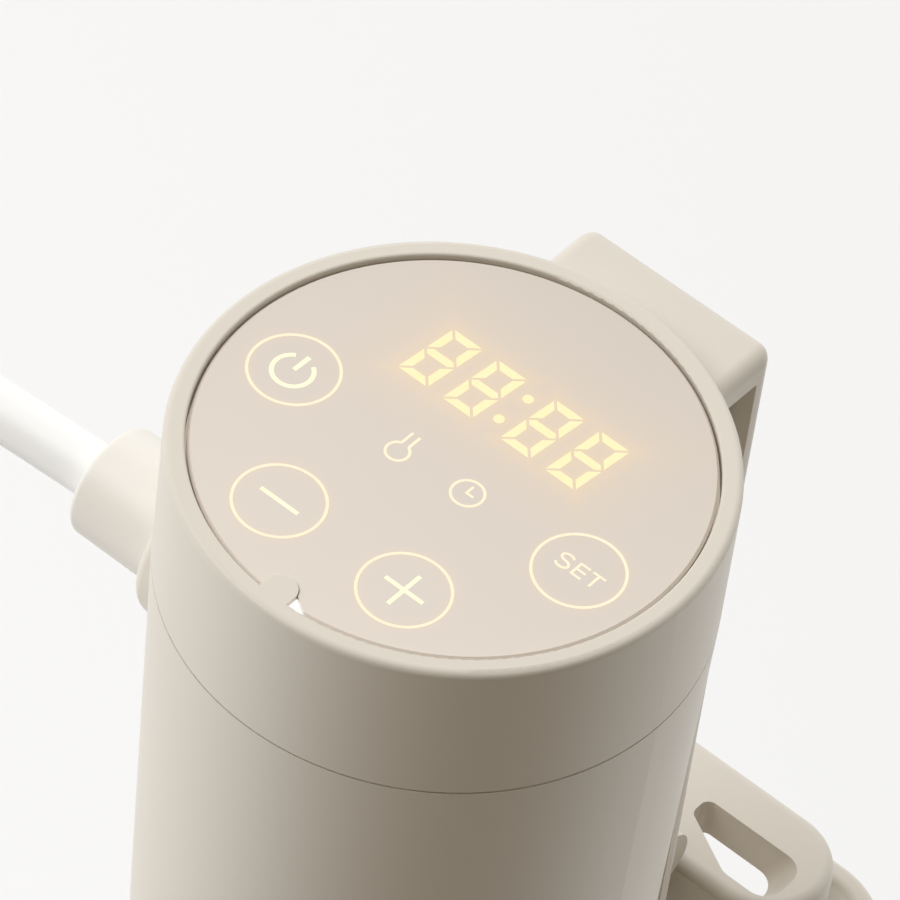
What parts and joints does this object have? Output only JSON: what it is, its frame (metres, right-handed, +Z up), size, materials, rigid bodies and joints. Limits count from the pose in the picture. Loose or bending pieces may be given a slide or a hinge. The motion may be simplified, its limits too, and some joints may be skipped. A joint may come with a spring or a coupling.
{
  "type": "sous vide circulator",
  "caption": "Slim upright immersion circulator with a touch-panel head, a sprung pot clip, a twist-off steel sleeve over heater and impeller, and a mains lead.",
  "frame": {"origin": "on the body's axis, on the plane that the foot stands on", "axes": "+Z up the body's axis to the touch panel, +X along the panel's lettering, +Y to the pot clip; the lead leaves towards -X"},
  "size_m": [0.1843, 0.1129, 0.31],
  "materials": {
    "shell": "satin moulded",
    "glass_panel": "smooth lightly glossy cover",
    "diffuser": "milky white",
    "display": "lit display",
    "board": "solder-masked board",
    "spring_steel": "bright wire",
    "dark_plastic": "moulded",
    "inner_plastic": "moulded",
    "rubber": "soft",
    "pale_rubber": "soft",
    "steel": "brushed",
    "zinc": "plated",
    "copper_core": "wound",
    "aluminium": "as extruded",
    "brass": "turned",
    "cord_white": "soft vinyl"
  },
  "bodies": {
    "housing": {"head_ring": "shell", "touch_glass": "glass_panel", "light_guide": "diffuser", "touch_board": "board", "display_module": "display", "touch_springs": "spring_steel", "buzzer": "dark_plastic", "head_gasket": "rubber", "main_body": "shell", "cord_boss": "shell", "boss_flange": "shell", "clip_bracket": "shell", "finger_rest": "shell", "clip_pin": "zinc", "clip_spring": "spring_steel", "clip_screws": "zinc", "rest_screws": "zinc", "chassis": "inner_plastic", "motor_can": "zinc", "motor_magnets": "dark_plastic", "motor_screws": "zinc", "power_board": "board", "transformer": "copper_core", "capacitors": "dark_plastic", "heat_sink": "aluminium", "triac": "dark_plastic", "terminal_block": "inner_plastic", "bulkhead": "inner_plastic", "bulkhead_seal": "rubber", "shaft_seal": "rubber", "heater_hairpins": "steel", "temperature_probe": "steel", "level_electrodes": "steel", "standoffs": "steel", "bush_carrier": "inner_plastic", "carrier_screws": "zinc", "shaft_bush": "dark_plastic", "cord": "cord_white", "cord_coil": "cord_white", "cord_tail": "cord_white", "plug_body": "cord_white", "plug_blades": "brass"},
    "rotor": {"motor_rotor": "copper_core", "shaft_coupling": "aluminium", "drive_shaft": "steel", "impeller": "dark_plastic", "impeller_nut": "zinc"},
    "clip_jaw": {"clip_lever": "shell", "jaw_pad": "pale_rubber"},
    "skirt": {"sleeve": "steel", "foot": "shell"}
  },
  "joints": [
    {"name": "impeller_spin", "type": "hinge", "parent": "housing", "child": "rotor", "pos_m": [0, 0, 0.1], "axis": [0, 0, 1], "continuous": true},
    {"name": "clip_squeeze", "type": "hinge", "parent": "housing", "child": "clip_jaw", "pos_m": [0, 0.0427, 0.21], "axis": [-1, 0, 0], "range_deg": [0, 18], "stiffness_Nm_per_rad": 0.35, "springref_deg": -20.05},
    {"name": "skirt_twist", "type": "hinge", "parent": "housing", "child": "skirt", "pos_m": [0, 0, 0.143], "axis": [0, 0, 1], "range_deg": [0, 20]}
  ]
}
